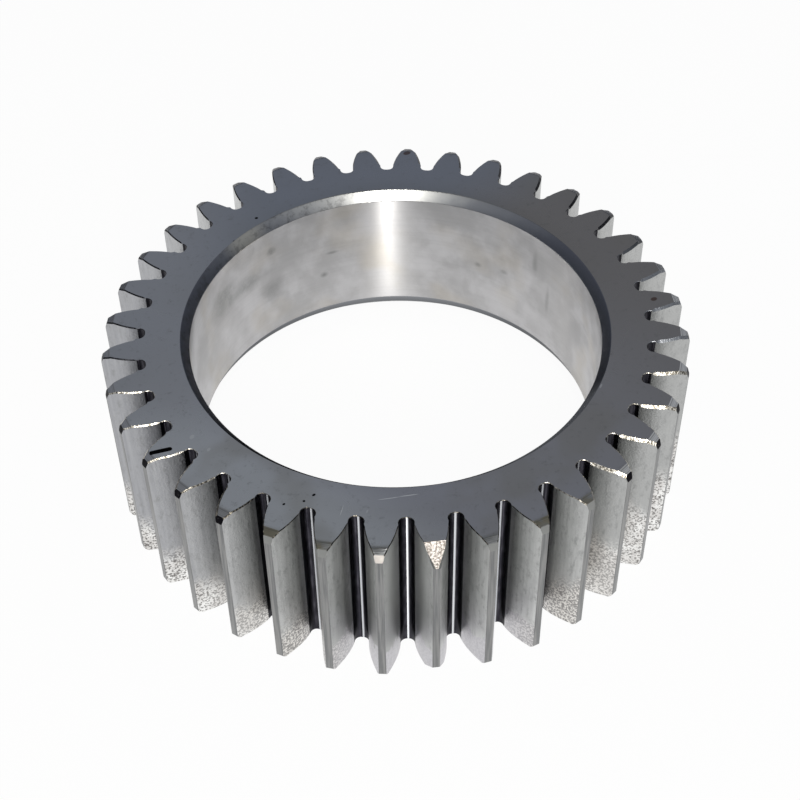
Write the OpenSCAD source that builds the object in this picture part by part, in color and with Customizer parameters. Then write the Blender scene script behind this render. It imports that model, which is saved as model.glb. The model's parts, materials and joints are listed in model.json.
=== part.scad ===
/* [Teeth] */
// Number of teeth
teeth = 36; // [34:1:44]
// Module: pitch diameter divided by the number of teeth
tooth_module = 4; // [3.8:0.05:4.6]
// Pressure angle, degrees
pressure_angle = 20; // [18:0.5:21]
// Height of a tooth above the pitch circle, in modules
addendum_factor = 1.333; // [1:0.001:1.34]
// Depth of a tooth space below the pitch circle, in modules
dedendum_factor = 1.517; // [1.3:0.001:1.55]
// Tooth thickness at the pitch circle beyond half the pitch
thickness_allowance = 0.16; // [-0.2:0.01:0.2]
// Radius of the fillets at the bottom of each tooth space
root_fillet = 1.6; // [1:0.1:1.7]

/* [Ring] */
// Width of the toothed face, along the axis
face_width = 48.8; // [36:0.2:64]
// Diameter of the bore
bore_d = 108.8; // [96:0.2:116]

/* [Bore ends] */
// Radial width of the chamfer at the upper end of the bore
upper_chamfer_width = 2.1; // [0.5:0.1:3]
// Axial height of the chamfer at the upper end of the bore
upper_chamfer_height = 2.5; // [0.5:0.1:4]
// Radial width of the steep chamfer at the lower end of the bore
lower_chamfer_width = 1.6; // [0.5:0.1:2.2]
// Axial height of the steep chamfer at the lower end of the bore
lower_chamfer_height = 3.2; // [1:0.1:5]
// Radial width of the wide chamfer under it, out to the underside
wide_chamfer_width = 6.2; // [2:0.1:6.6]
// Axial height of the wide chamfer
wide_chamfer_height = 5.9; // [2:0.1:9]

/* [Tooth ends] */
// Radial length of the shallow facet on each tooth's upper end
shallow_facet_length = 2.15; // [1:0.05:2.6]
// Drop of the shallow facet
shallow_facet_drop = 0.8; // [0.3:0.05:1.5]
// Radial length of the steep facet at the tip
steep_facet_length = 0.75; // [0.3:0.05:1]
// Drop of the steep facet
steep_facet_drop = 2.05; // [1:0.05:3]
// Edge break at the tips on the underside
lower_edge_break = 0.25; // [0.1:0.05:0.8]

/* [Timing tooth] */
// Radial length of the bevel ground on its upper end
upper_bevel_length = 3.7; // [2:0.1:4.5]
// Drop of that bevel at the tip
upper_bevel_drop = 5.8; // [3:0.1:8]
// Radial length of the bevel ground on its lower end
lower_bevel_length = 3.5; // [2:0.1:4.5]
// Rise of that bevel at the tip
lower_bevel_rise = 3.1; // [1.5:0.1:5]

/* [Timing line] */
// Whole teeth from the timing tooth to the tooth with the line
line_tooth_offset = 6; // [2:1:12]
// Length of the line, over its round ends
line_length = 5.7; // [3:0.1:6]
// Width of the line
line_width = 1.3; // [0.5:0.1:1.5]
// Depth of the line
line_depth = 0.5; // [0.2:0.1:1]
// Lean of the line away from the tooth's centre line, degrees
line_lean = 21; // [0:1:25]
// How far below the tip the line's middle lies
line_inset = 4.9; // [4:0.1:6.5]
// How far the line's middle lies to the side of the tooth's centre line
line_side = 0.5; // [0:0.1:0.8]

/* [Hidden] */

// Points along each flank, and along each root fillet
FLANK_STEPS = 7;
FILLET_STEPS = 4;
// Power that crowds the flank's points towards the root, where it curves most
FLANK_CROWDING = 1.3;
// Cutters and outlines run past the faces that they cut by this much
PAST = 2;
// Least width of the underside left between its chamfer and the tooth spaces
UNDERSIDE_LEFT = 2;

pitch_r = teeth * tooth_module / 2;
tip_r = pitch_r + addendum_factor * tooth_module;
root_r = pitch_r - dedendum_factor * tooth_module;
base_r = pitch_r * cos(pressure_angle);
bore_r = bore_d / 2;
wide_chamfer_r =
    min(bore_r + lower_chamfer_width + wide_chamfer_width, root_r - UNDERSIDE_LEFT);
bore_wall_bottom = wide_chamfer_height + lower_chamfer_height;
bore_wall_top = face_width - upper_chamfer_height;
facet_start_r = tip_r - steep_facet_length - shallow_facet_length;
facet_middle_r = tip_r - steep_facet_length;
facet_middle_z = face_width - shallow_facet_drop;
facet_end_z = facet_middle_z - steep_facet_drop;
tooth_pitch_deg = 360 / teeth;
timing_tooth_deg = -90;
line_tooth_deg = timing_tooth_deg - line_tooth_offset * tooth_pitch_deg;

// Involute function in degrees: the polar angle gained while the profile angle grows to a
function involute_deg(a) = tan(a) * 180 / PI - a;

// Profile angle of the involute at radius r
function profile_angle(r) = acos(min(1, base_r / r));

// Half of the angle that a tooth takes up at the pitch circle, and at any radius r
half_pitch_deg = (PI * tooth_module / 2 + thickness_allowance) / pitch_r * 90 / PI;
function half_tooth_deg(r) =
    half_pitch_deg + involute_deg(pressure_angle) - involute_deg(profile_angle(r));

function polar(r, a) = [r * cos(a), r * sin(a)];

// Each fillet touches the root circle and the radial line that the flank starts from
fillet_centre_r = root_r + root_fillet;
fillet_half_deg = asin(root_fillet / fillet_centre_r);
fillet_end_r = fillet_centre_r * cos(fillet_half_deg);
flank_start_r = max(base_r, fillet_end_r);
fillet_centre_deg = half_tooth_deg(flank_start_r) + fillet_half_deg;
fillet_turn_deg = 90 - fillet_half_deg;

// One side of one tooth, from the bottom of the space out past the tip
flank_side = [
    polar(root_r, tooth_pitch_deg / 2),
    for (i = [0 : FILLET_STEPS])
        polar(fillet_centre_r, fillet_centre_deg)
            + polar(root_fillet, fillet_centre_deg + 180 + fillet_turn_deg * i / FILLET_STEPS),
    for (i = [0 : FLANK_STEPS])
        let (r = flank_start_r + (tip_r - flank_start_r) * pow(i / FLANK_STEPS, FLANK_CROWDING))
        polar(r, half_tooth_deg(r)),
    polar(tip_r + PAST, half_tooth_deg(tip_r)),
];

// The same side mirrored, so that the whole tooth runs from one space to the next
tooth_points = [
    for (i = [1 : len(flank_side) - 1]) [flank_side[i].x, -flank_side[i].y],
    for (i = [len(flank_side) - 1 : -1 : 0]) flank_side[i],
];

function turned(p, a) = [p.x * cos(a) - p.y * sin(a), p.x * sin(a) + p.y * cos(a)];

// Outline of all the teeth, with the tips left long for the turned blank to cut
module tooth_outline() {
    polygon([
        for (n = [0 : teeth - 1])
            let (a = timing_tooth_deg + n * tooth_pitch_deg)
            for (p = tooth_points) turned(p, a)
    ]);
}

// Turned blank: bore, its chamfers and the facets at the tips
module turned_blank() {
    rotate_extrude($fn = 180)
        polygon([
            [bore_r, bore_wall_bottom],
            [bore_r + lower_chamfer_width, wide_chamfer_height],
            [wide_chamfer_r, 0],
            [tip_r - lower_edge_break, 0],
            [tip_r, lower_edge_break],
            [tip_r, facet_end_z],
            [facet_middle_r, facet_middle_z],
            [facet_start_r, face_width],
            [bore_r + upper_chamfer_width, face_width],
            [bore_r, bore_wall_top],
        ]);
}

// Wedge that takes a flat bevel off the end of the timing tooth, as wide as one pitch at the
// tips: its slope meets the end face a bevel's length in, and the tip a bevel's height down
module bevel_block(length, height) {
    wide = 2 * PI * tip_r / teeth;
    rotate([0, 0, timing_tooth_deg])
        translate([tip_r, 0, 0])
            rotate([90, 0, 0])
                linear_extrude(wide, center = true)
                    polygon([
                        [-2 * length, height],
                        [length, -2 * height],
                        [2 * length, height],
                    ]);
}

// Straight stamped line with round ends
module timing_line() {
    straight = line_length - line_width;
    rotate([0, 0, line_tooth_deg])
        translate([tip_r - line_inset, line_side, face_width - line_depth])
            rotate([0, 0, -line_lean])
                union() {
                    translate([-straight / 2, -line_width / 2, 0])
                        cube([straight, line_width, PAST]);
                    for (side = [-1, 1])
                        translate([side * straight / 2, 0, 0])
                            cylinder(h = PAST, d = line_width, $fn = 24);
                }
}

module ring_gear() {
    color([0.46, 0.46, 0.48])
        difference() {
            intersection() {
                translate([0, 0, -PAST])
                    linear_extrude(face_width + 2 * PAST) tooth_outline();
                turned_blank();
            }
            translate([0, 0, face_width])
                bevel_block(upper_bevel_length, upper_bevel_drop);
            mirror([0, 0, 1])
                bevel_block(lower_bevel_length, lower_bevel_rise);
            timing_line();
        }
}

ring_gear();
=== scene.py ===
# %% [markdown]
# # A flywheel ring gear
# This lesson dresses one machined part: the wide spur gear ring that is shrunk on the flywheel
# end of a crankshaft. It is a single piece of case-hardened steel, so the whole lesson is about
# two things: clean machined forms with crisp small chamfers, and telling turned, ground and
# untouched steel apart by their finish alone.
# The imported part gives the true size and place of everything, so it is loaded first.

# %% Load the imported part
import json
import math

import bmesh
import bpy
from mathutils import Matrix, Vector


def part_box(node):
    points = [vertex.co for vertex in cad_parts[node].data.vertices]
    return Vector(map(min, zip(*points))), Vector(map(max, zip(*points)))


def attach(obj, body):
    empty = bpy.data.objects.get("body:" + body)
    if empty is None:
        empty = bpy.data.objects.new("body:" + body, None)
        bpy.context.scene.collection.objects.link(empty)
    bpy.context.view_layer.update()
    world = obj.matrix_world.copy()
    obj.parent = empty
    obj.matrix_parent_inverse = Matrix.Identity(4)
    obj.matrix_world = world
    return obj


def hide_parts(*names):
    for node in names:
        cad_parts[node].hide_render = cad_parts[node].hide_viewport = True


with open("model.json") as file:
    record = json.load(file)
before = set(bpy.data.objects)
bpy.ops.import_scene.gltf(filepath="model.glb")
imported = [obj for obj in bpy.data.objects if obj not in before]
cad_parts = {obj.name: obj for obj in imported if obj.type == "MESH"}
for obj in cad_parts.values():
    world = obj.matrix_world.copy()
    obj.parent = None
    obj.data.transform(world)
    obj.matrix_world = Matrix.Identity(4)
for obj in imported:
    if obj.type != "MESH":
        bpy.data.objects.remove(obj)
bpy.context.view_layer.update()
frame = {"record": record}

# %% [markdown]
# ## Driving sizes
# A gear is drawn from a handful of numbers. The tip radius and the face width are read from
# the frame and the bore from its mount, and the rest are the gear cutter's own figures in
# millimetres. Every later size is worked out from these, so a change here moves everything.

# %% Sizes of the gear
MM = 0.001
low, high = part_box("ring_gear")
bore_mount = next(m for m in frame["record"]["mounts"] if m["name"] == "bore")

TEETH = 36
PITCH_ANGLE = 2 * math.pi / TEETH
MODULE = 4.0
PRESSURE_ANGLE = math.radians(20)
DEDENDUM = 1.517
THICKNESS_ALLOWANCE = 0.16
ROOT_FILLET = 1.6

width = (high[2] - low[2]) / MM
tip_r = (high[0] - low[0]) / 2 / MM
pitch_r = TEETH * MODULE / 2
root_r = pitch_r - DEDENDUM * MODULE
base_r = pitch_r * math.cos(PRESSURE_ANGLE)
bore_r = bore_mount["dims"]["r_mm"]
# Teeth and rim are modelled apart and meet on this circle, just inside the tooth spaces
joint_r = 64.0
print(f"tip radius {tip_r:.2f} mm, bore radius {bore_r:.2f} mm, width {width:.2f} mm")

# %% [markdown]
# ## The involute
# The side of a gear tooth is an involute: the path of the end of a string unwound from the
# base circle. The half angle of the tooth at any radius follows from it. Below the base circle
# the side runs straight inwards, and a fillet carries it into the bottom of the space.


# %% Half angle of the tooth at a radius
def involute(angle):
    return math.tan(angle) - angle


half_at_pitch = (math.pi * MODULE / 2 + THICKNESS_ALLOWANCE) / (2 * pitch_r)


def half_angle(radius):
    profile_angle = math.acos(min(1.0, base_r / radius))
    return half_at_pitch + involute(PRESSURE_ANGLE) - involute(profile_angle)


def polar(radius, angle):
    return Vector((radius * math.cos(angle), radius * math.sin(angle)))


print(f"tooth is {2 * tip_r * half_angle(tip_r):.2f} mm thick at the tip")

# %% [markdown]
# ## Outline of one tooth
# One tooth with half a space on either side is a slice of ten degrees. Its outline is walked
# from the middle of one space, through the fillet, up the flank, over the land at the tip and
# down the other side, then back along the joint circle. Only one flank is worked out: the
# other is its mirror image.

# %% Points of the outline
FLANK_POINTS = 22
FILLET_POINTS = 7
JOINT_POINTS = 6

fillet_centre_r = root_r + ROOT_FILLET
fillet_half = math.asin(ROOT_FILLET / fillet_centre_r)
flank_start_r = max(base_r, fillet_centre_r * math.cos(fillet_half))
fillet_angle = half_angle(flank_start_r) + fillet_half
fillet_centre = polar(fillet_centre_r, fillet_angle)

upper_side = [polar(root_r, PITCH_ANGLE / 2)]
for i in range(FILLET_POINTS + 1):
    turn = fillet_angle + math.pi + (math.pi / 2 - fillet_half) * i / FILLET_POINTS
    upper_side.append(fillet_centre + polar(ROOT_FILLET, turn))
for i in range(FLANK_POINTS + 1):
    r = flank_start_r + (tip_r - flank_start_r) * i / FLANK_POINTS
    upper_side.append(polar(r, half_angle(r)))
lower_side = [Vector((p.x, -p.y)) for p in upper_side]
joint_arc = [
    polar(joint_r, PITCH_ANGLE * (0.5 - i / JOINT_POINTS)) for i in range(JOINT_POINTS + 1)
]

outline = lower_side + [polar(tip_r, 0)] + upper_side[::-1] + joint_arc
print("outline of one tooth:", len(outline), "points")

# %% [markdown]
# ## Small tools for edit mode
# Every operator works on what is selected, so each step first selects exactly what it needs:
# nothing, everything, or the faces and edges that pass a test on their place and direction.


# %% Selection helpers
def select_only(obj):
    bpy.ops.object.select_all(action="DESELECT")
    obj.select_set(True)
    bpy.context.view_layer.objects.active = obj


def edit(obj):
    select_only(obj)
    bpy.ops.object.mode_set(mode="EDIT")
    bpy.ops.mesh.select_all(action="SELECT")


def leave_edit():
    bpy.ops.object.mode_set(mode="OBJECT")


def copy_of(obj, name):
    select_only(obj)
    bpy.ops.object.duplicate()
    twin = bpy.context.object
    twin.name = name
    return twin


def pick(obj, kind, test):
    """Selects only the faces or edges of a mesh in edit mode that pass the test."""
    bpy.ops.mesh.select_mode(type="FACE" if kind == "faces" else "EDGE")
    bpy.ops.mesh.select_all(action="DESELECT")
    mesh = bmesh.from_edit_mesh(obj.data)
    mesh.normal_update()
    chosen = [part for part in getattr(mesh, kind) if test(part)]
    for part in chosen:
        part.select_set(True)
    mesh.select_flush_mode()
    bmesh.update_edit_mesh(obj.data)
    return len(chosen)


def walk(name, points):
    """Draws a chain of edges: one vertex, extruded from point to point."""
    bpy.ops.object.select_all(action="DESELECT")
    bpy.ops.mesh.primitive_plane_add(size=MM, location=(0, 0, 0))
    obj = bpy.context.object
    obj.name = name
    bpy.ops.object.mode_set(mode="EDIT")
    bpy.ops.mesh.select_mode(type="VERT")
    bpy.ops.mesh.select_all(action="SELECT")
    bpy.ops.mesh.merge(type="CENTER")
    bpy.ops.transform.translate(value=points[0])
    for start, end in zip(points, points[1:]):
        bpy.ops.mesh.extrude_region_move(TRANSFORM_OT_translate={"value": end - start})
    return obj


# %% [markdown]
# ## The tooth as a solid slice
# The chain is closed into one face and pulled up by the face width, which is how the ring
# blank is cut: the same outline from end to end. The slice stays a closed solid while it is
# cut and chamfered, because a closed solid takes cuts cleanly.

# %% Draw the outline and pull it up
tooth = walk("tooth", [Vector((p.x, p.y, 0)) * MM for p in outline])
bpy.ops.mesh.select_all(action="SELECT")
bpy.ops.mesh.edge_face_add()
bpy.ops.mesh.extrude_region_move(TRANSFORM_OT_translate={"value": (0, 0, width * MM)})
bpy.ops.mesh.select_all(action="SELECT")
bpy.ops.mesh.normals_make_consistent(inside=False)
leave_edit()
print("tooth slice:", len(tooth.data.polygons), "faces")

# %% [markdown]
# ## Facets at the tip
# The upper end of every tooth was turned with two facets while the ring was still a plain
# blank: a long shallow one and a short steep one at the tip. Over one narrow tooth a cone is
# as good as flat, so each facet is a straight cut that drops what lies outside it.

# %% Cut the two facets
SHALLOW_LENGTH, SHALLOW_DROP = 2.15, 0.8
STEEP_LENGTH, STEEP_DROP = 0.75, 2.05
facet_start_r = tip_r - STEEP_LENGTH - SHALLOW_LENGTH
facet_middle_r = tip_r - STEEP_LENGTH


def slice_off(obj, r, z, outward, upward):
    """Cuts through (r, z) square to the direction given, and drops what lies beyond."""
    away = Vector((outward, 0, upward)).normalized()
    edit(obj)
    bpy.ops.mesh.bisect(
        plane_co=(r * MM, 0, z * MM), plane_no=away, use_fill=True, clear_outer=True
    )
    leave_edit()


slice_off(tooth, facet_start_r, width, SHALLOW_DROP, SHALLOW_LENGTH)
slice_off(tooth, facet_middle_r, width - SHALLOW_DROP, STEEP_DROP, STEEP_LENGTH)
print("tooth with facets:", len(tooth.data.polygons), "faces")

# %% [markdown]
# ## Deburred edges
# After cutting, the sharp outline at each end is broken by hand with a small grinding wheel.
# The wheel doesn't reach into the bottom of a space, so the upper chamfer runs along the flanks
# only, and it is wider on one flank than on the other. The teeth beside the timing tooth were
# hardly touched. The lower end of the land is rounded first and the corners of the land are
# broken next, so that the chamfers at the ends meet them cleanly.

# %% Chamfer the edges
WIDE_BREAK, NARROW_BREAK, LIGHT_BREAK, ROOT_BREAK = 0.6, 0.3, 0.2, 0.12
LOWER_BREAK, LAND_BREAK = 0.25, 0.12
# The lower end of the land is rounded by flat cuts that lean out from upright by these degrees
TIP_ROUND, ROUND_LEANS = 1.6, (20, 42, 64)
# The grinding wheel reaches this far down into a space
BREAK_START_R = 68.6
# Z of a face's normal: past LEVEL it lies level, and under UPRIGHT it stands upright
LEVEL, UPRIGHT = 0.9, 0.1
# Slack when a face is sought by its place: radians, then millimetres
SAME_ANGLE, JOINT_SLACK, LAND_SLACK = 1e-4, 0.1, 0.05


def is_wall(face):
    return abs(face.normal.z) < UPRIGHT


def is_slice_side(face):
    centre = face.calc_center_median()
    on_side = abs(abs(math.atan2(centre.y, centre.x)) - PITCH_ANGLE / 2) < SAME_ANGLE
    on_joint = math.hypot(centre.x, centre.y) < (joint_r + JOINT_SLACK) * MM
    return is_wall(face) and (on_side or on_joint)


def meets(edge, test_a, test_b):
    if len(edge.link_faces) != 2:
        return False
    a, b = edge.link_faces
    return (test_a(a) and test_b(b)) or (test_a(b) and test_b(a))


def is_outer_wall(face):
    return is_wall(face) and not is_slice_side(face)


def is_land(face):
    return is_outer_wall(face) and face.calc_center_median().x > (tip_r - LAND_SLACK) * MM


def is_flank(face):
    return is_outer_wall(face) and not is_land(face)


def is_underside(face):
    return face.normal.z < -LEVEL


def break_edges(obj, size, test):
    edit(obj)
    count = pick(obj, "edges", test)
    bpy.ops.mesh.bevel(offset=size * MM, offset_type="OFFSET", segments=1, affect="EDGES")
    leave_edit()
    print(f"broke {count} edges of {obj.name} by {size} mm")


for lean in ROUND_LEANS:
    out_share, down_share = math.cos(math.radians(lean)), math.sin(math.radians(lean))
    slice_off(
        tooth, tip_r - TIP_ROUND * (1 - out_share), TIP_ROUND * (1 - down_share),
        out_share, -down_share,
    )
break_edges(tooth, LAND_BREAK, lambda e: meets(e, is_land, is_flank))


def is_upper_edge(edge):
    return meets(edge, lambda f: f.normal.z > LEVEL, is_flank)


def edge_place(edge):
    middle = (edge.verts[0].co + edge.verts[1].co) / 2 / MM
    return math.hypot(middle.x, middle.y), middle.y


def on_clockwise_flank(edge):
    r, side = edge_place(edge)
    return is_upper_edge(edge) and r > BREAK_START_R and side < 0


def on_other_flank(edge):
    r, side = edge_place(edge)
    return is_upper_edge(edge) and r > BREAK_START_R and side > 0


def deburr(obj, clockwise_break, other_break):
    break_edges(obj, clockwise_break, on_clockwise_flank)
    break_edges(obj, other_break, on_other_flank)
    break_edges(obj, ROOT_BREAK, is_upper_edge)
    break_edges(obj, LOWER_BREAK, lambda e: meets(e, is_underside, is_outer_wall))


timing_tooth = copy_of(tooth, "timing_tooth")
light_tooth = copy_of(tooth, "light_tooth")
deburr(tooth, WIDE_BREAK, NARROW_BREAK)
deburr(light_tooth, LIGHT_BREAK, LIGHT_BREAK)

# %% [markdown]
# ## The timing tooth
# One tooth is ground off at a slant at both of its ends, so that a fitter can find it by eye
# and by touch. It is a copy of the plain tooth with one straight cut at each end, and only
# what the cuts leave of its edges is broken.

# %% Grind the ends of the timing tooth
UPPER_BEVEL_LENGTH, UPPER_BEVEL_DROP = 3.7, 5.8
LOWER_BEVEL_LENGTH, LOWER_BEVEL_RISE = 3.5, 3.1

slice_off(timing_tooth, tip_r - UPPER_BEVEL_LENGTH, width, UPPER_BEVEL_DROP, UPPER_BEVEL_LENGTH)
slice_off(timing_tooth, tip_r - LOWER_BEVEL_LENGTH, 0, LOWER_BEVEL_RISE, -LOWER_BEVEL_LENGTH)
deburr(timing_tooth, ROOT_BREAK, ROOT_BREAK)
print("timing tooth:", len(timing_tooth.data.polygons), "faces")

# %% [markdown]
# ## The timing line
# Six teeth away a short line with round ends is stamped into the end face. A cutter of that
# shape, a bar with a bevelled outline, is sunk half a millimetre into a copy of the tooth and
# taken away from it.

# %% Stamp the line
LINE_LENGTH, LINE_WIDTH, LINE_DEPTH = 5.7, 1.3, 0.5
LINE_LEAN = math.radians(-21)
LINE_INSET, LINE_SIDE = 4.9, 0.5
LINE_CLEARANCE = 1.0
# Just under half of the width, so that the rounded corners stay apart
LINE_ROUNDING = 0.499

line_tooth = copy_of(tooth, "line_tooth")
bpy.ops.object.select_all(action="DESELECT")
bpy.ops.mesh.primitive_cube_add(
    size=1,
    location=((tip_r - LINE_INSET) * MM, LINE_SIDE * MM, (width + LINE_CLEARANCE - LINE_DEPTH) * MM),
    rotation=(0, 0, LINE_LEAN),
    scale=(LINE_LENGTH * MM, LINE_WIDTH * MM, 2 * LINE_CLEARANCE * MM),
)
stamp = bpy.context.object
stamp.name = "stamp"
bpy.ops.object.transform_apply(location=False, rotation=False, scale=True)
edit(stamp)
pick(stamp, "edges", lambda e: abs((e.verts[0].co - e.verts[1].co).z) > MM)
bpy.ops.mesh.bevel(offset=LINE_WIDTH * MM * LINE_ROUNDING, segments=6, affect="EDGES")
leave_edit()

select_only(line_tooth)
cut = line_tooth.modifiers.new("stamped line", "BOOLEAN")
cut.operation = "DIFFERENCE"
cut.object = stamp
cut.solver = "EXACT"
bpy.ops.object.modifier_apply(modifier=cut.name)
bpy.data.objects.remove(stamp)
print("tooth with the line:", len(line_tooth.data.polygons), "faces")

# %% [markdown]
# ## Open the slices
# Inside the ring the slices touch, so their side walls and the wall on the joint circle are
# never seen. They come off now, and the open edges will be merged with their neighbours.

# %% Delete the inner walls
for piece in (tooth, light_tooth, timing_tooth, line_tooth):
    edit(piece)
    pick(piece, "faces", is_slice_side)
    bpy.ops.mesh.delete(type="FACE")
    leave_edit()

# %% [markdown]
# ## Ring of teeth
# The timing tooth points towards the viewer along minus Y and the line tooth lies six places
# clockwise from it. The places beside the timing tooth take copies of the lightly broken tooth
# and the others copies of the plain one. Each is turned to its own angle about the axis of the
# ring, and the turn is applied to the mesh.

# %% Set the teeth round the ring
TIMING_PLACE = -math.pi / 2
LINE_OFFSET = 6
LIGHT_PLACES = (1, 2, 3, 33, 34, 35)

teeth = []
for place in range(TEETH):
    if place == 0:
        one = timing_tooth
    elif place == TEETH - LINE_OFFSET:
        one = line_tooth
    else:
        one = copy_of(light_tooth if place in LIGHT_PLACES else tooth, f"tooth_{place}")
    one["turn"] = TIMING_PLACE + place * PITCH_ANGLE
    teeth.append(one)
bpy.data.objects.remove(tooth)
bpy.data.objects.remove(light_tooth)
for one in teeth:
    select_only(one)
    one.rotation_euler.z = one["turn"]
    bpy.ops.object.transform_apply(location=True, rotation=True, scale=True)
print("teeth round the ring:", len(teeth))

# %% [markdown]
# ## The rim
# Everything inside the joint circle is turned work: one profile spun about the axis. The
# profile runs from the upper joint edge over the chamfer, down the bore, out over the steep
# lower chamfer and the wide one below it, and back along the underside to the joint circle.

# %% Spin the rim
UPPER_CHAMFER_W, UPPER_CHAMFER_H = 2.1, 2.5
LOWER_CHAMFER_W, LOWER_CHAMFER_H = 1.6, 3.2
WIDE_CHAMFER_W, WIDE_CHAMFER_H = 6.2, 5.9
underside_r = bore_r + LOWER_CHAMFER_W + WIDE_CHAMFER_W
# Points closer than this are one point
RIM_MERGE = 0.001

rim_profile = [
    (joint_r, width),
    (bore_r + UPPER_CHAMFER_W, width),
    (bore_r, width - UPPER_CHAMFER_H),
    (bore_r, WIDE_CHAMFER_H + LOWER_CHAMFER_H),
    (bore_r + LOWER_CHAMFER_W, WIDE_CHAMFER_H),
    (underside_r, 0),
    (joint_r, 0),
]
rim = walk("rim", [Vector((r, 0, z)) * MM for r, z in rim_profile])
bpy.ops.mesh.select_all(action="SELECT")
bpy.ops.mesh.spin(
    steps=TEETH * JOINT_POINTS, angle=2 * math.pi, center=(0, 0, 0), axis=(0, 0, 1)
)
bpy.ops.mesh.select_all(action="SELECT")
bpy.ops.mesh.remove_doubles(threshold=RIM_MERGE * MM)
bpy.ops.mesh.normals_make_consistent(inside=False)

# Half a slice's turn brings the rim's edges in line with the points of the joint arcs
bpy.ops.transform.rotate(value=PITCH_ANGLE / 2, orient_axis="Z", center_override=(0, 0, 0))

RIM_BREAK = 0.14
CORNER_ANGLE = math.radians(15)


def is_rim_corner(edge):
    return len(edge.link_faces) == 2 and edge.calc_face_angle() > CORNER_ANGLE


corners = pick(rim, "edges", is_rim_corner)
bpy.ops.mesh.bevel(offset=RIM_BREAK * MM, offset_type="OFFSET", segments=2, affect="EDGES")
leave_edit()
print("rim:", len(rim.data.polygons), "faces,", corners, "corner edges rounded")

# %% [markdown]
# ## One piece of steel
# Teeth and rim are joined, the points that lie on each other are merged, and the normals are
# turned outwards. Edges sharper than the angle below stay crisp and all others shade smoothly,
# so the flank reads as one curve and every chamfer as its own facet.

# %% Join, merge and shade
SHARP_ANGLE = math.radians(24)
# The points of neighbouring slices lie within this distance of each other
GEAR_MERGE = 0.004

bpy.ops.object.select_all(action="DESELECT")
for one in teeth + [rim]:
    one.select_set(True)
bpy.context.view_layer.objects.active = rim
bpy.ops.object.join()
gear = rim
gear.name = "gear_ring"
edit(gear)
bpy.ops.mesh.remove_doubles(threshold=GEAR_MERGE * MM)
bpy.ops.mesh.select_all(action="SELECT")
bpy.ops.mesh.normals_make_consistent(inside=False)
leave_edit()
bpy.ops.object.shade_smooth_by_angle(angle=SHARP_ANGLE)

counted = bmesh.new()
counted.from_mesh(gear.data)
open_edges = sum(1 for e in counted.edges if len(e.link_faces) != 2)
volume = counted.calc_volume(signed=True) / MM**3
counted.free()
print(f"gear: {len(gear.data.polygons)} faces, {open_edges} open edges, {volume:.0f} mm3")

# %% [markdown]
# ## Camera
# The photograph was taken from in front and above with a moderately long lens. The place, the
# direction and the slight roll were found by laying the part's own edges over it.

# %% Set the camera
CAMERA_PLACE = Vector((-34.453, -304.067, 338.504)) * MM
LOOK_AT = Vector((0.397, -4.237, 24.4)) * MM
CAMERA_ROLL = math.radians(-0.892)
LENS, SENSOR_WIDTH = 71.9, 36
# Nothing nearer to the camera than this, in metres, is drawn
CLIP_START = 0.01

camera = bpy.data.objects.new("camera", bpy.data.cameras.new("camera"))
bpy.context.collection.objects.link(camera)
camera.data.lens = LENS
camera.data.sensor_width = SENSOR_WIDTH
camera.data.clip_start = CLIP_START
camera.location = CAMERA_PLACE
facing = (LOOK_AT - CAMERA_PLACE).to_track_quat("-Z", "Y").to_matrix()
camera.rotation_euler = (facing @ Matrix.Rotation(CAMERA_ROLL, 3, "Z")).to_euler()
bpy.context.scene.camera = camera
print("camera at", [round(v, 3) for v in camera.location])

# %% [markdown]
# ## Colours and nodes
# Colours are written as on screen, in sRGB hex, and turned to the linear values that the
# renderer works in. One function adds a node, fills in its settings and values and links it,
# which keeps each material short enough to read.


# %% Material helpers
def linear(hex_colour):
    values = [int(hex_colour[i : i + 2], 16) / 255 for i in (0, 2, 4)]
    return tuple(v / 12.92 if v <= 0.04045 else ((v + 0.055) / 1.055) ** 2.4 for v in values) + (1,)


def node(tree, kind, values=None, **settings):
    """Adds a node; a value that is another node's socket is linked, any other is set."""
    made = tree.nodes.new(kind)
    for name, setting in settings.items():
        setattr(made, name, setting)
    for socket, value in (values or {}).items():
        if isinstance(value, bpy.types.NodeSocket):
            tree.links.new(value, made.inputs[socket])
        else:
            made.inputs[socket].default_value = value
    return made


def per_mm(size):
    """Texture scale at which one cell of a pattern is this many millimetres wide."""
    return 1 / (size * MM)


def new_material(name):
    made = bpy.data.materials.new(name)
    made.use_nodes = True
    made.node_tree.nodes.clear()
    return made, made.node_tree


# %% [markdown]
# ## Floor
# The floor is a pale studio sweep. To the camera and in the metal's reflections most of its
# white is plain paper white, and the rest is lit by the lamp and the room, so the part still
# throws a soft shadow on it.

# %% Lay the floor
FLOOR_SIZE = 60.0
PAPER_SHARE = 0.95

bpy.ops.object.select_all(action="DESELECT")
bpy.ops.mesh.primitive_plane_add(size=FLOOR_SIZE, location=(0, 0, 0))
floor = bpy.context.object
floor.name = "floor"
paper, tree = new_material("white paper sweep")
seen = node(tree, "ShaderNodeLightPath")
mirrored = node(
    tree, "ShaderNodeMath",
    {0: seen.outputs["Is Glossy Ray"], 1: seen.outputs["Is Transmission Ray"]},
    operation="MAXIMUM",
)
viewed = node(
    tree, "ShaderNodeMath", {0: seen.outputs["Is Camera Ray"], 1: mirrored.outputs[0]},
    operation="MAXIMUM",
)
share = node(
    tree, "ShaderNodeMath", {0: viewed.outputs[0], 1: PAPER_SHARE}, operation="MULTIPLY"
)
lit = node(tree, "ShaderNodeBsdfDiffuse", {"Color": linear("F4F4F4")})
white = node(tree, "ShaderNodeEmission", {"Color": linear("FFFFFF"), "Strength": 1.0})
mixed = node(
    tree, "ShaderNodeMixShader", {0: share.outputs[0], 1: lit.outputs[0], 2: white.outputs[0]}
)
node(tree, "ShaderNodeOutputMaterial", {"Surface": mixed.outputs[0]})
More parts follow.
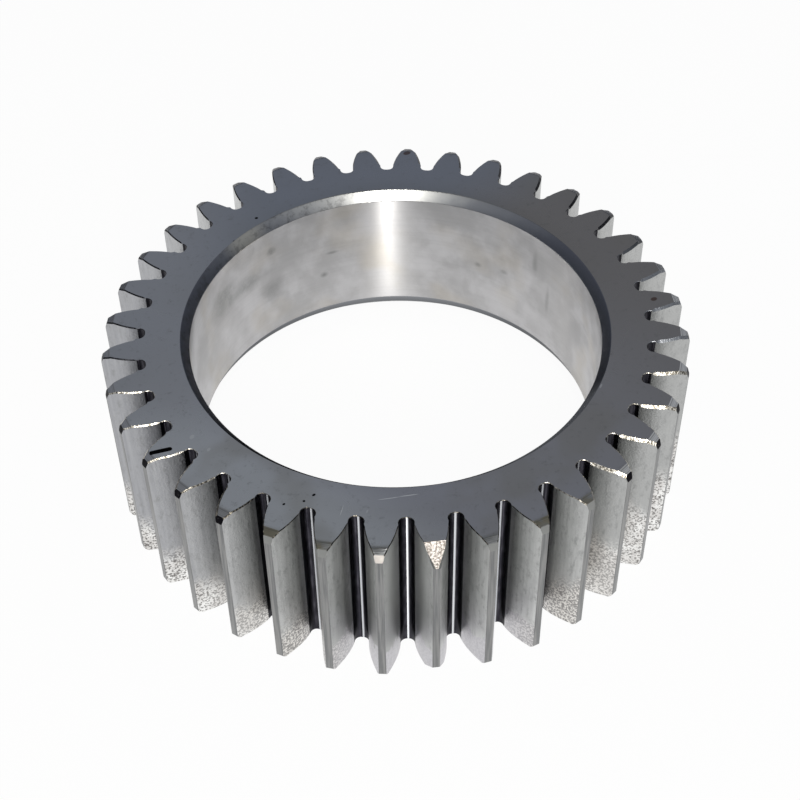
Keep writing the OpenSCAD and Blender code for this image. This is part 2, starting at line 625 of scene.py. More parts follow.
floor.data.materials.append(paper)
print("floor:", FLOOR_SIZE, "m across")

# %% [markdown]
# ## Studio light
# One tall narrow softbox stands in front. It draws a bright upright line on every wall that
# faces it and lights the edges that were broken by hand. The room itself is dim and slightly
# blue, darker towards the floor, and that is what the smooth upper face mirrors.

# %% Hang the lamp and tint the room
# Height on the room's sphere, from the lowest point at zero to the highest at one, and colour
ROOM_BANDS = [(0.0, "5E6267"), (0.3, "777B82"), (0.62, "989CA4"), (0.8, "8E9298"), (1.0, "5A5A54")]


def softbox(name, azimuth, elevation, distance, width_m, height_m, watts, tint):
    lamp = bpy.data.objects.new(name, bpy.data.lights.new(name, "AREA"))
    bpy.context.collection.objects.link(lamp)
    lamp.data.shape = "RECTANGLE"
    lamp.data.size = width_m
    lamp.data.size_y = height_m
    lamp.data.energy = watts
    lamp.data.color = linear(tint)[:3]
    flat = math.cos(math.radians(elevation)) * distance
    lamp.location = (
        flat * math.cos(math.radians(azimuth)),
        flat * math.sin(math.radians(azimuth)),
        distance * math.sin(math.radians(elevation)),
    )
    lamp.rotation_euler = (-lamp.location).to_track_quat("-Z", "Y").to_euler()
    print(f"{name}: {watts} W at azimuth {azimuth}, elevation {elevation}")


softbox(
    "front strip", azimuth=-93, elevation=40, distance=1.2, width_m=0.045, height_m=1.1,
    watts=13.0, tint="FFFDF8",
)

world = bpy.data.worlds.new("studio room")
bpy.context.scene.world = world
world.use_nodes = True
tree = world.node_tree
tree.nodes.clear()
sky = node(tree, "ShaderNodeTexCoord")
height = node(tree, "ShaderNodeSeparateXYZ", {0: sky.outputs["Generated"]})
room = node(tree, "ShaderNodeValToRGB", {"Fac": height.outputs["Z"]})
stops = room.color_ramp.elements
while len(stops) < len(ROOM_BANDS):
    stops.new(0.5)
for stop, (at_height, colour) in zip(stops, ROOM_BANDS):
    stop.position = at_height
    stop.color = linear(colour)
print("room tinted in", len(ROOM_BANDS), "bands")
glow = node(tree, "ShaderNodeBackground", {"Color": room.outputs["Color"], "Strength": 1.0})
node(tree, "ShaderNodeOutputWorld", {"Surface": glow.outputs[0]})
bpy.context.scene.view_settings.view_transform = "Standard"

# %% [markdown]
# ## Zones of finish
# One piece of steel carries several finishes. Each face is told apart by where it lies and
# which way it points, and gets the number of its finish, so a chamfer stays crisp against the
# face beside it.

# %% Sort the faces into zones
FINISHES = [
    "turned end face", "turned tip facet", "steep tip facet", "stoned edge", "ground flank",
    "tip land", "hobbed root", "ground bore", "bore chamfer", "rough timing bevel",
    "timing line", "wide chamfer",
]
# The ground flank ends at this radius, just above the fillet
FLANK_GRIND_R = 67.9
# Half the width of the timing tooth at its bevels, and where a glint is painted on the next one
TIMING_HALF = 4.0
GLINT_FROM, GLINT_TO = -18.0, -9.0
# Slack in millimetres when a face's place is compared with a size
SLACK, FINE_SLACK = 0.1, 0.01
# Z of a face's normal: of the end faces, of any chamfer, of the bevels and of the steep facets
FACED, LEANING = 0.98, 0.2
BEVEL_FROM, BEVEL_TO = 0.5, 0.8
STEEP_FROM, STEEP_TO = 0.2, 0.5
# How far a face points away from the axis: the bevels, the steep facets and the rounded ends
BEVEL_OUT, STEEP_OUT, ROUND_OUT = 0.6, 0.85, 0.35
LAND_DEPTH = 0.15

line_angle = TIMING_PLACE - LINE_OFFSET * PITCH_ANGLE
line_middle = polar(tip_r - LINE_INSET, line_angle) + polar(LINE_SIDE, line_angle + math.pi / 2)
line_way = polar(1, line_angle + LINE_LEAN)


def in_stamped_line(centre, normal, r):
    beside = Vector((centre.x, centre.y)) - line_middle
    along, across = abs(beside @ line_way), abs(beside.cross(line_way))
    within = along < LINE_LENGTH / 2 + SLACK and across < LINE_WIDTH / 2 + FINE_SLACK
    above_floor = centre.z > width - LINE_DEPTH + SLACK / 2
    on_facet = r > facet_start_r and normal.z > LEVEL and above_floor
    return within and not on_facet and width / 2 < centre.z < width - FINE_SLACK


def finish_of(face):
    centre, normal = face.center / MM, face.normal
    r = math.hypot(centre.x, centre.y)
    outward = (normal.x * centre.x + normal.y * centre.y) / r
    upper, in_front = centre.z > width / 2, centre.y < 0
    if in_stamped_line(centre, normal, r):
        return "timing line"
    if in_front and abs(centre.x) < TIMING_HALF and r > tip_r - UPPER_BEVEL_LENGTH - SLACK:
        if BEVEL_FROM < abs(normal.z) < BEVEL_TO and outward > BEVEL_OUT:
            return "rough timing bevel"
    if abs(normal.z) > FACED:
        return "turned end face"
    if r < bore_r + SLACK and abs(normal.z) < UPRIGHT:
        return "ground bore"
    if r < bore_r + UPPER_CHAMFER_W + SLACK:
        return "bore chamfer"
    if r < joint_r:
        return "wide chamfer"
    if upper and normal.z > LEVEL:
        return "turned tip facet"
    if upper and STEEP_FROM < normal.z < STEEP_TO and outward > STEEP_OUT and r > facet_middle_r:
        # Painted glint: the steep facet of the tooth beside the timing tooth takes the bright bevel
        # finish
        painted_glint = in_front and GLINT_FROM < centre.x < GLINT_TO
        return "rough timing bevel" if painted_glint else "steep tip facet"
    if not upper and normal.z < -LEANING and outward > ROUND_OUT and r > tip_r - TIP_ROUND:
        return "tip land"
    if abs(normal.z) > LEANING:
        return "stoned edge"
    if r > tip_r - LAND_DEPTH:
        return "tip land"
    return "ground flank" if r > FLANK_GRIND_R else "hobbed root"


zone_count = dict.fromkeys(FINISHES, 0)
for face in gear.data.polygons:
    finish = finish_of(face)
    zone_count[finish] += 1
    face.material_index = FINISHES.index(finish)
print(zone_count)

# %% [markdown]
# ## Patterns shared by the finishes
# All patterns are worked out from the place on the gear, so they stay put from any side. The
# helpers below give the reach of a place along a direction, a grain that can be drawn out one
# way, a band between two values, the lathe's feed lines, and an oval mark for a pit or a
# scratch. A band whose high value is another pattern shows only where that pattern does.


# %% Pattern helpers
RIGHT, BACK, UP = Vector((1, 0, 0)), Vector((0, 1, 0)), Vector((0, 0, 1))
# Size of a flat mark across the face that it lies in, and where any mark has faded out
FLAT_MARK, MARK_END = 20.0, 1.15


def place_on_gear(tree):
    return node(tree, "ShaderNodeTexCoord").outputs["Object"]


def reach(tree, place, way):
    """How far a place lies from the gear's axis or underside along a direction, in millimetres."""
    return node(
        tree, "ShaderNodeVectorMath", {0: place, 1: way / MM}, operation="DOT_PRODUCT"
    ).outputs["Value"]


def side_reach(tree, place):
    """How far a place lies to the left or right of the timing tooth, in millimetres."""
    across = reach(tree, place, RIGHT)
    return node(tree, "ShaderNodeMath", {0: across}, operation="ABSOLUTE").outputs[0]


def upper_half(tree, place):
    """One on the upper half of the gear, and zero on the lower."""
    return node(
        tree, "ShaderNodeMath", {0: reach(tree, place, UP), 1: width / 2}, operation="GREATER_THAN"
    ).outputs[0]


def grain(tree, place, size, stretch=(1, 1, 1), detail=2.0, rough=0.5):
    """Noise with cells of a size in millimetres, drawn out where stretch is below one."""
    drawn = node(tree, "ShaderNodeVectorMath", {0: place, 1: stretch}, operation="MULTIPLY")
    return node(
        tree, "ShaderNodeTexNoise",
        {"Vector": drawn.outputs[0], "Scale": per_mm(size), "Detail": detail, "Roughness": rough},
    ).outputs["Fac"]


def band(tree, value, start, stop, low_value=0.0, high_value=1.0):
    """Smooth step from one value to another while the input runs from start to stop."""
    return node(
        tree, "ShaderNodeMapRange",
        {"Value": value, "From Min": start, "From Max": stop, "To Min": low_value,
         "To Max": high_value},
        interpolation_type="SMOOTHSTEP",
    ).outputs["Result"]


def feed_lines(tree, place, feed, detail):
    """Circles round the axis that a lathe tool leaves, as far apart as its feed."""
    level = node(
        tree, "ShaderNodeVectorMath", {0: place, 1: (1 / MM, 1 / MM, 0)}, operation="MULTIPLY"
    )
    from_axis = node(tree, "ShaderNodeVectorMath", {0: level.outputs[0]}, operation="LENGTH")
    return node(
        tree, "ShaderNodeTexNoise",
        {"W": from_axis.outputs["Value"], "Scale": 1 / feed, "Detail": detail},
        noise_dimensions="1D",
    ).outputs["Fac"]


def mark(tree, place, centre, length, breadth, turn=0.0, across=None, full=0.75, strength=1.0):
    """Strength inside an oval given in millimetres and degrees, and zero outside it. It lies
    flat in the upper face, or upright in a wall when its size across the wall is given. Full
    is the share of the oval that the mark fills before it fades."""
    flat = across is None
    inside = node(
        tree, "ShaderNodeMapping",
        {"Vector": place, "Location": Vector((*centre, width) if flat else centre) * MM,
         "Rotation": (0, 0, math.radians(turn)),
         "Scale": Vector((length, breadth, FLAT_MARK) if flat else (length, across, breadth)) * MM / 2},
        vector_type="TEXTURE",
    )
    from_centre = node(tree, "ShaderNodeVectorMath", {0: inside.outputs[0]}, operation="LENGTH")
    return band(tree, from_centre.outputs["Value"], MARK_END, full, 0.0, strength)


# %% [markdown]
# ## Colour and shine of the steel
# A finish is one base colour with washes over it, much as oil, scale and wear lie on the real
# steel: each wash covers what is under it by its own share. Bare steel is fully metallic. Where
# the marks of the tool run round the axis, its shine is drawn out along the axis.


# %% Finish helpers
def shade(colour):
    return linear(colour) if isinstance(colour, str) else colour


def layered(tree, base, washes):
    """A base colour with washes laid over it in turn, each a share and a colour."""
    tint = shade(base)
    for share, colour in washes:
        tint = node(
            tree, "ShaderNodeMix", {0: share, 6: tint, 7: shade(colour)}, data_type="RGBA"
        ).outputs[2]
    return tint


def steel_surface(tree, tint, rough, relief=None, depth=0.0, spread=0.0, edge=1.0):
    """Bare metal; relief is a pattern and depth its height in millimetres. Spread draws the
    shine out along upright walls. Edge is how much the metal mirrors at a grazing view: all of
    it when clean, and less under scale or an oil film."""
    values = {"Base Color": tint, "Metallic": 1.0, "Roughness": rough}
    values["Specular Tint"] = (edge, edge, edge, 1.0)
    if relief is not None:
        bump = node(
            tree, "ShaderNodeBump", {"Height": relief, "Strength": 1.0, "Distance": depth * MM}
        )
        values["Normal"] = bump.outputs[0]
    if spread:
        along = node(tree, "ShaderNodeCombineXYZ", {"X": 0.0, "Y": 0.0, "Z": 1.0})
        values["Tangent"] = along.outputs[0]
        values["Anisotropic"] = spread
    shader = node(tree, "ShaderNodeBsdfPrincipled", values)
    node(tree, "ShaderNodeOutputMaterial", {"Surface": shader.outputs[0]})


finished = {}

# %% [markdown]
# ## Turned end face
# The ends are faced on a lathe and lightly ground, so they are smooth and dark and mirror the
# dim room. Real facing marks are finer than the picture shows, so they are drawn a little
# coarser and very faint. The face is painted brighter towards the front left and along the left
# side, as painted light, and it turns bluer towards the back left. A few rust stains,
# scratches, nicks and pits sit where handling left them.

# %% Material of the end faces
LATHE_FEED = 0.5
CLOUD = 24.0
# Painted light: the face is painted brighter towards this side
LIT_SIDE_WAY = Vector((-0.69, -0.72, 0.0))
LIT_SIDE_FULL, LIT_SIDE_REACH = 42.0, 64.0
# The face is bluer towards the back left
BLUER_WAY = BACK - 0.6 * RIGHT
# Each kind of mark: its colour and strength, then place, length, breadth and turn of each one
RUST = "54382C", 0.75, [
    ((69.6, 0.3), 1.9, 1.4, 20), ((12.5, 72.5), 2.4, 1.7, 20), ((-61.0, -27.5), 2.6, 1.0, 20),
]
SCRATCHES = "F2F2F0", 1.0, [
    ((-9.0, -59.3), 5.6, 0.22, 2.5), ((-4.2, -59.0), 4.6, 0.28, 2), ((-20.5, -61.5), 3.4, 0.2, 70),
]
NICKS = "F2F2F0", 0.4, [
    ((-54.7, -33.0), 1.6, 1.1, 60), ((-50.8, -37.8), 1.3, 0.8, 60), ((-53.6, -38.6), 0.9, 0.7, 60),
    ((48.7, -29.6), 1.7, 0.5, 60), ((-14.6, -62.6), 1.0, 0.5, 60),
]
PITS = "18181A", 1.0, [
    ((-33.5, 48.8), 1.0, 0.9, 35), ((-40.3, 39.7), 0.8, 0.6, 35), ((-26.6, -55.8), 1.0, 0.7, 35),
    ((-29.1, -57.4), 0.7, 0.7, 35), ((-33.9, -57.7), 0.8, 0.6, 35),
]

steel, tree = new_material("faced and ground steel")
place = place_on_gear(tree)
cloud = grain(tree, place, CLOUD, detail=3.0)
lit_side = reach(tree, place, LIT_SIDE_WAY)
fleck = grain(tree, place, 1.6, detail=4.0, rough=0.7)
on_left = band(tree, reach(tree, place, RIGHT), -26.0, -62.0, 0.0, 0.85)
washes = [
    # Painted light: brighter towards the front left
    (band(tree, lit_side, -LIT_SIDE_REACH, LIT_SIDE_FULL), "B2B2B7"),
    (band(tree, lit_side, LIT_SIDE_FULL, LIT_SIDE_REACH), "D0D2D4"),
    (band(tree, cloud, 0.48, 0.66, 0.0, 0.4), "9E9A90"),
    (band(tree, reach(tree, place, BLUER_WAY), 10.0, 50.0, 0.0, 0.7), "A0A7B4"),
    # Painted light: lighter along the left side, apart from its front
    (band(tree, reach(tree, place, BACK), -40.0, -14.0, 0.0, on_left), "B8B9BC"),
    (band(tree, fleck, 0.54, 0.76, 0.0, 0.4), "7F7F7C"),
]
for colour, strength, spots in (RUST, SCRATCHES, NICKS, PITS):
    for centre, length, breadth, turn in spots:
        spot = mark(tree, place, centre, length, breadth, turn, strength=strength)
        washes.append((spot, colour))
tint = layered(tree, "9A9693", washes)
gloss = band(tree, cloud, 0.3, 0.7, 0.26, 0.34)
steel_surface(tree, tint, gloss, feed_lines(tree, place, LATHE_FEED, 2.0), 0.0012)
finished["turned end face"] = steel
print("washes and marks on the end faces:", len(washes))

# %% [markdown]
# ## Tip facets
# The two facets were turned before hardening and never ground, so a thin brown-grey scale is
# left on the shallow one and a nearly black one on the steep one. The shallow facets are
# painted lighter towards the right and darker towards the back, as painted light. The steep
# facets are painted grey on the teeth near the timing mark, as a painted reflection of the pale
# floor, and elsewhere their black is partly scale and partly painted shade. The lathe's feed
# lines are coarse enough on the facets to be seen.

# %% Materials of the tip facets
FACET_FEED = 0.32


def near_timing(tree, place):
    """One on the teeth beside the timing tooth, and zero elsewhere."""
    in_front = node(
        tree, "ShaderNodeMath", {0: reach(tree, place, BACK), 1: 0.0}, operation="LESS_THAN"
    ).outputs[0]
    return band(tree, side_reach(tree, place), 46.0, 41.0, 0.0, in_front)


steel, tree = new_material("turned steel with temper tint")
place = place_on_gear(tree)
lines = feed_lines(tree, place, FACET_FEED, 1.0)
front_teeth = near_timing(tree, place)
browned = band(tree, side_reach(tree, place), 17.0, 22.0, 0.0, front_teeth)
# Painted light: lighter towards the right and darker towards the back, but not on the front teeth
tint = layered(tree, "B6B6B8", [
    (band(tree, reach(tree, place, RIGHT), -20.0, 40.0), "FAF8F4"),
    (band(tree, reach(tree, place, BACK), 0.0, 22.0), "848488"),
    (front_teeth, "B2B4B8"),
    (band(tree, grain(tree, place, 4.0), 0.3, 0.6, 0.0, browned), "A39D8C"),
    (band(tree, lines, 0.45, 0.7, 0.0, 0.5), "7C7C78"),
])
steel_surface(tree, tint, 0.3, lines, 0.045)
finished["turned tip facet"] = steel

steel, tree = new_material("turned steel under black scale")
place = place_on_gear(tree)
worn = band(tree, grain(tree, place, 0.8, detail=3.0), 0.64, 0.78)
# Painted shade and reflection: black where the facets mirror dark, grey on the front teeth
tint = layered(tree, "131216", [(worn, "7E7C78"), (near_timing(tree, place), "8F908E")])
steel_surface(tree, tint, 0.36, grain(tree, place, 0.5), 0.03, edge=0.6)
finished["steep tip facet"] = steel
print("tip facets:", FACET_FEED, "mm between the feed lines")

# %% [markdown]
# ## Stoned edges and the ground bevels
# Edges broken with a hand grinder are coarse and full of tiny facets that each catch the lamp
# for themselves. Their steel is dark, and along one stretch on either side of the upper end a
# bright painted highlight lies on them. Those towards the back are darker, and those at the
# far right are lighter. The bevels on the timing tooth were ground the same way and show the
# wheel's grit as a lumpy silver grain.

# %% Materials of the fresh ground edges
GRINDER_GRIT = 0.42
# The painted highlight on either side starts and ends on lines that lean this way
HIGHLIGHT_FRONT_WAY, HIGHLIGHT_BACK_WAY = BACK + 0.2 * RIGHT, BACK + 0.08 * RIGHT

steel, tree = new_material("freshly stoned steel edge")
place = place_on_gear(tree)
strokes = grain(tree, place, GRINDER_GRIT, stretch=(1, 0.3, 1), detail=3.0)
depth = reach(tree, place, BACK)
# Painted highlight: bright steel in the stretches where the lamp's light falls on the edges
edge_highlight = layered(tree, "6F695D", [(band(tree, strokes, 0.4, 0.58), "F6F0E4")])
back_tint = layered(tree, "26262A", [(band(tree, strokes, 0.4, 0.66), "4A4A4E")])
on_right = band(tree, reach(tree, place, RIGHT), 56.0, 66.0, 0.0, 0.85)
from_front = reach(tree, place, HIGHLIGHT_FRONT_WAY)
sides = band(tree, from_front, -64.0, -50.0, 0.0, upper_half(tree, place))
tint = layered(tree, "2C2A28", [
    (band(tree, strokes, 0.48, 0.62), "8A8478"),
    (band(tree, depth, -24.0, -6.0), back_tint),
    (band(tree, depth, 30.0, 12.0, 0.0, on_right), "A6A9AE"),
    (band(tree, reach(tree, place, HIGHLIGHT_BACK_WAY), -10.0, -18.0, 0.0, sides), edge_highlight),
])
steel_surface(tree, tint, 0.38, strokes, 0.07)
finished["stoned edge"] = steel

# The bevel was ground with a narrow wheel, so its bright part tapers to a point at the tip
BEVEL_TOP_HALF, BEVEL_FOOT_HALF = 2.9, 0.25

# This bright finish is also a painted glint on the steep facet of the tooth beside the timing tooth
steel, tree = new_material("hand ground steel bevel")
place = place_on_gear(tree)
sideways = side_reach(tree, place)
half_reach = node(
    tree, "ShaderNodeMapRange",
    {"Value": reach(tree, place, UP), "From Min": width - UPPER_BEVEL_DROP, "From Max": width,
     "To Min": BEVEL_FOOT_HALF, "To Max": BEVEL_TOP_HALF},
).outputs["Result"]
outside = node(tree, "ShaderNodeMath", {0: sideways, 1: half_reach}, operation="SUBTRACT")
on_timing = node(
    tree, "ShaderNodeMath", {0: sideways, 1: TIMING_HALF}, operation="LESS_THAN"
).outputs[0]
grit = grain(tree, place, 0.5, detail=4.0, rough=0.65)
tint = layered(tree, "E0D9D2", [
    (on_timing, "827B74"),
    (band(tree, grit, 0.4, 0.6), "DDD6D0"),
    (band(tree, outside.outputs[0], -0.12, 0.16, 0.0, on_timing), "4C4D4D"),
])
steel_surface(tree, tint, 0.4, grit, 0.15)
finished["rough timing bevel"] = steel
print("stoned edges and bevels:", GRINDER_GRIT, "mm grit")

# %% [markdown]
# ## Ground flanks
# The flanks are ground with the wheel running along the tooth, which leaves soft upright
# streaks. Towards the lower end a bright painted reflection of the pale floor lies on them,
# broken by dark specks. It reaches highest round the sides and covers only the very foot of
# the teeth at the front. Above it the ground steel is painted with light and shade as well.

# %% Material of the flanks
STREAK = 0.8
SPECK = 0.6
MOTTLE = 5.0
# Height at which the painted reflection fades in, at the front and round the sides, and the
# height at which it is full; the mottle and the right side shift both by these millimetres
FRONT_FADE, FRONT_FULL = 2.6, 1.8
SIDE_FADE, SIDE_FULL = 8.0, -1.0
MOTTLE_SHIFT, RIGHT_SHIFT = -16.0, -11.0
LEAST_SPECKED = 0.15

steel, tree = new_material("ground and run-in tooth flank")
place = place_on_gear(tree)
height = reach(tree, place, UP)
across = reach(tree, place, RIGHT)
sideways = side_reach(tree, place)
streaks = grain(tree, place, STREAK, stretch=(1, 1, 0.035), detail=3.0, rough=0.6)
mottle = grain(tree, place, MOTTLE, stretch=(1, 1, 0.6), detail=4.0, rough=0.6)
scuffs = grain(tree, place, 1.3, stretch=(1, 1, 0.4), detail=6.0, rough=0.72)
grit = grain(tree, place, SPECK, detail=3.0, rough=0.55)

# Ground steel, painted with light and shade: darker round both sides, lighter on the flanks
# just left of the timing tooth, and painted shade at the foot of the front teeth on that side
streaked = band(tree, streaks, 0.3, 0.7)
left_tint = layered(tree, "A2A3A7", [(streaked, "B0B1B4")])
near_left = band(tree, across, -1.0, -3.5, 0.0, band(tree, across, -13.5, -10.5))
shaded_foot = band(tree, height, 27.0, 11.0, 0.0, band(tree, sideways, 34.0, 18.0, 0.0, 0.75))
ground = layered(tree, "C1C2C1", [
    (streaked, "D0D1D0"),
    (band(tree, across, -30.0, -72.0), left_tint),
    (band(tree, across, 28.0, 50.0, 0.0, 0.7), "AAABAA"),
    (band(tree, mottle, 0.5, 0.72, 0.0, 0.3), "A0A1A1"),
    (band(tree, scuffs, 0.48, 0.72, 0.0, 0.6), "8C8D8D"),
    (near_left, "D3D4D3"),
    (band(tree, across, 1.0, -6.0, 0.0, shaded_foot), "9C9E9C"),
])

# Painted reflection of the pale floor: brightest and most specked round the sides
speck_share = band(tree, sideways, 15.0, 37.0, LEAST_SPECKED, 1.0)
specks = band(tree, grit, 0.47, 0.6, 0.0, speck_share)
dark_speck_share = band(tree, sideways, 46.0, 62.0, 0.55, 1.0)
dark_specks = node(tree, "ShaderNodeMath", {0: specks, 1: dark_speck_share}, operation="MULTIPLY").outputs[0]
grainy_reflection = layered(tree, "E2DFDA", [(band(tree, grit, 0.43, 0.53), "A2A09E")])
cloudy = layered(tree, "FCFCFA", [(band(tree, mottle, 0.36, 0.6, 0.0, 0.7), "D2CFCC")])
specked = layered(tree, grainy_reflection, [(band(tree, sideways, 32.0, 58.0), cloudy)])
floor_reflection = layered(tree, "C4C3C8", [(speck_share, specked), (dark_specks, "7F7C7A")])

lowered = node(
    tree, "ShaderNodeMath", {0: mottle, 1: MOTTLE_SHIFT, 2: height}, operation="MULTIPLY_ADD"
).outputs[0]
right_drop = band(tree, across, 26.0, 48.0, 0.0, RIGHT_SHIFT)
shifted = node(tree, "ShaderNodeMath", {0: lowered, 1: right_drop}, operation="ADD").outputs[0]
fade_height = band(tree, speck_share, LEAST_SPECKED, 1.0, FRONT_FADE, SIDE_FADE)
full_height = band(tree, speck_share, LEAST_SPECKED, 1.0, FRONT_FULL, SIDE_FULL)
tint = layered(tree, ground, [(band(tree, shifted, fade_height, full_height), floor_reflection)])
gloss = band(tree, streaks, 0.3, 0.7, 0.34, 0.4)
steel_surface(tree, tint, gloss, specks, 0.02)
finished["ground flank"] = steel
print("flanks:", STREAK, "mm streaks,", SPECK, "mm specks")

# %% [markdown]
# ## Lands and roots
# The land at the tip is part of the turned blank, dulled by hardening. The bottom of each
# space was only hobbed, and hardening left it black, apart from one narrow painted highlight
# beside the middle, where the floor and the lamp would be mirrored.

# %% Materials of lands and roots
# The painted highlight lies to one side of the middle of each space: it is bright up to the
# first of these distances in millimetres, and gone at the second
HIGHLIGHT_FULL, HIGHLIGHT_END = 0.26, 0.62
# In pitches: the middle of a space lies half a pitch past a tooth, and each half counts anew
SPACE_MIDDLE, NEXT_TOOTH = 0.5, 1.0

steel, tree = new_material("turned land")
place = place_on_gear(tree)
streaks = grain(tree, place, 0.6, stretch=(1, 1, 0.04), detail=3.0)
tint = layered(tree, "777879", [(band(tree, streaks, 0.35, 0.65), "929291")])
steel_surface(tree, tint, 0.34, streaks, 0.004)
finished["tip land"] = steel

steel, tree = new_material("hobbed root with black scale")
place = place_on_gear(tree)
across, depth = reach(tree, place, RIGHT), reach(tree, place, BACK)
round_angle = node(tree, "ShaderNodeMath", {0: depth, 1: across}, operation="ARCTAN2")
pitches = node(
    tree, "ShaderNodeMath", {0: round_angle.outputs[0], 1: 1 / PITCH_ANGLE}, operation="MULTIPLY"
)
in_pitch = node(
    tree, "ShaderNodeMath", {0: pitches.outputs[0], 1: NEXT_TOOTH, 2: SPACE_MIDDLE},
    operation="WRAP",
)
past_middle = node(
    tree, "ShaderNodeMath", {0: in_pitch.outputs[0], 1: SPACE_MIDDLE}, operation="SUBTRACT"
)
past_middle_mm = node(
    tree, "ShaderNodeMath", {0: past_middle.outputs[0], 1: PITCH_ANGLE * root_r},
    operation="MULTIPLY",
).outputs[0]
# Painted highlight: the bright line beside the middle of each space
clean = band(tree, past_middle_mm, HIGHLIGHT_END, HIGHLIGHT_FULL)
scale_grain = grain(tree, place, 0.9, stretch=(1, 1, 0.2), detail=3.0)
tint = layered(tree, "232229", [(band(tree, scale_grain, 0.4, 0.7), "3C3B42"), (clean, "E2E4E8")])
steel_surface(tree, tint, 0.3, spread=1.0)
finished["hobbed root"] = steel
print("painted highlight line:", HIGHLIGHT_END, "mm wide with its soft edge")

# %% [markdown]
# ## Bore and its chamfers
# The bore is ground round the axis, so light spreads along the axis in a bright upright
# streak. Handling and a trial fit left cloudy smudges with a faint brown tint on it. The
# upper chamfer is turned and black, partly from hardening and partly as painted shade, and
# it is painted paler towards the side away from the timing tooth as a painted highlight of the
# lamp. A fitting tool has rubbed one spot on it paler.

# %% Materials of the bore
HONING_LINE = 0.9
SMUDGE, STAIN = 11.0, 17.0
# Size of a mark across the wall, enough to take in the wall's curve under it
WALL_MARK = 8.0
# Azimuth, height, length, breadth in the wall, strength
SMUDGES = [
    (145, 35.0, 17.0, 17.0, 0.55), (134, 33.0, 18.0, 9.0, 0.5), (124, 25.0, 13.0, 9.0, 0.4),
    (123.8, 39.1, 3.8, 3.4, 0.7), (106.1, 22.2, 3.0, 2.6, 0.6), (103, 29.9, 5.0, 1.4, 0.5),
    (56.6, 26.5, 2.8, 2.2, 0.5), (47.6, 27.4, 3.2, 2.0, 0.5), (36.1, 36.3, 2.6, 11.0, 0.35),
    (30.1, 26.7, 2.0, 13.0, 0.3),
]


def wall_mark(tree, place, azimuth, r, height, length, breadth, full, strength=1.0):
    """A mark that lies upright in the wall of the bore or its chamfer."""
    centre = polar(r, math.radians(azimuth))
    return mark(
        tree, place, (centre.x, centre.y, height), length, breadth, azimuth + 90, WALL_MARK,
        full, strength,
    )


steel, tree = new_material("ground bore")
place = place_on_gear(tree)
smudge = grain(tree, place, SMUDGE, detail=5.0, rough=0.62)
stain = grain(tree, place, STAIN, detail=2.0)
rings = grain(tree, place, HONING_LINE, stretch=(0.05, 0.05, 1), detail=2.0)
wiped = grain(tree, place, 3.0, detail=7.0, rough=0.75)
washes = [
    (band(tree, smudge, 0.36, 0.64), "CAC9CA"),
    (band(tree, stain, 0.5, 0.72, 0.0, 0.35), "BEB5A4"),
    (band(tree, rings, 0.4, 0.8, 0.0, 0.12), "989898"),
]
for azimuth, height, length, breadth, strength in SMUDGES:
    mottled = band(tree, wiped, 0.3, 0.66, 0.25, strength)
    spot = wall_mark(tree, place, azimuth, bore_r, height, length, breadth, 0.1, mottled)
    washes.append((spot, "6C6E6C"))
tint = layered(tree, "BFBEBE", washes)
gloss = band(tree, smudge, 0.3, 0.7, 0.34, 0.28)
steel_surface(tree, tint, gloss, rings, 0.001, spread=1.0)
finished["ground bore"] = steel
print("bore:", len(SMUDGES), "smudges")

# Azimuth in degrees of the spot where the fitting tool has rubbed most, and its size
RUBBED_AZIMUTH, RUBBED_LENGTH, RUBBED_BREADTH = 132, 17.0, 9.0
# Middle of the chamfer, from the bore's wall and from the end face
CHAMFER_MIDDLE = 1.0
# The smudges shift the edges of the paler stretches by up to this many millimetres
SMUDGE_SHIFT = 8.0

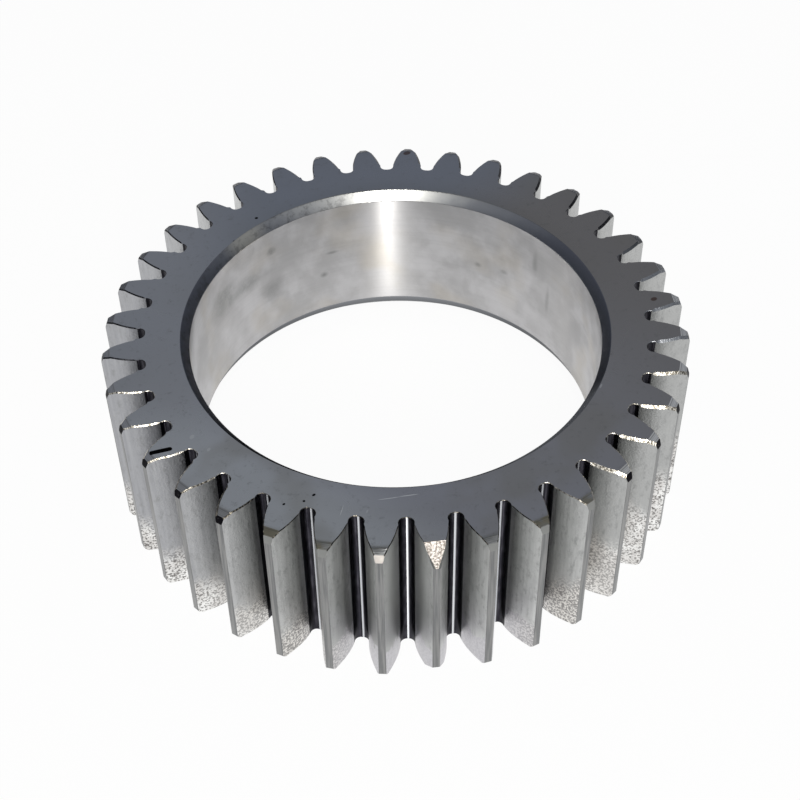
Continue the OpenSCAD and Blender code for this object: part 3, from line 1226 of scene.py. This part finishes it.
steel, tree = new_material("turned bore chamfer")
place = place_on_gear(tree)
smudge = grain(tree, place, 4.0, detail=4.0, rough=0.6)
across, depth = reach(tree, place, RIGHT), reach(tree, place, BACK)
back = node(
    tree, "ShaderNodeMath", {0: smudge, 1: SMUDGE_SHIFT, 2: depth}, operation="MULTIPLY_ADD"
).outputs[0]
rubbed = wall_mark(
    tree, place, RUBBED_AZIMUTH, bore_r + CHAMFER_MIDDLE, width - CHAMFER_MIDDLE,
    RUBBED_LENGTH, RUBBED_BREADTH, 0.2,
)
patches = grain(tree, place, 2.4, detail=5.0, rough=0.7)
left_half = band(tree, across, 4.0, -14.0, 0.0, 0.5)
front_right = band(tree, depth, -24.0, -34.0, 0.0, band(tree, across, 12.0, 28.0))
# Painted shade and highlight: darkest at the front, paler towards the back, where the lamp is mirrored
upper_tint = layered(tree, "2A2B2F", [
    (band(tree, back, -34.0, -8.0), "767880"),
    (band(tree, back, 28.0, 52.0), "A4A5A8"),
    (band(tree, back, 50.0, 58.0), "C4C4C2"),
    (rubbed, "CFCBC0"),
    (band(tree, patches, 0.46, 0.66, 0.0, left_half), "5C5B5A"),
    (front_right, "8E9094"),
])
tint = layered(tree, "96989C", [(upper_half(tree, place), upper_tint)])
gloss = band(tree, back, -34.0, -8.0, 0.62, 0.3)
steel_surface(tree, tint, gloss, smudge, 0.01, edge=0.3)
finished["bore chamfer"] = steel

steel, tree = new_material("turned steel under the bore")
place = place_on_gear(tree)
tint = layered(tree, "7C7E80", [(grain(tree, place, 8.0, detail=3.0), "96979A")])
steel_surface(tree, tint, 0.36)
finished["wide chamfer"] = steel

# %% [markdown]
# ## Stamped line
# The walls and the bottom of the stamped line hold old black marking paint and oil, which
# makes it easy to find.

# %% Material of the stamped line
steel, tree = new_material("blackened stamped line")
place = place_on_gear(tree)
tint = layered(tree, "060607", [(grain(tree, place, 0.4), "1C1B1D")])
steel_surface(tree, tint, 0.6)
finished["timing line"] = steel
print("finishes made:", len(finished))

# %% [markdown]
# ## Put the finishes on the gear
# Every face already carries the number of its zone, so the materials only have to go into the
# gear's slots in the order of the zones.

# %% Fill the material slots
for finish in FINISHES:
    gear.data.materials.append(finished[finish])
print("materials on the gear:", len(gear.data.materials))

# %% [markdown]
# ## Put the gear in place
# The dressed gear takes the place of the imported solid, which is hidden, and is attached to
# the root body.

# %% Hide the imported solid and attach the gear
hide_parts("ring_gear")
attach(gear, "root")
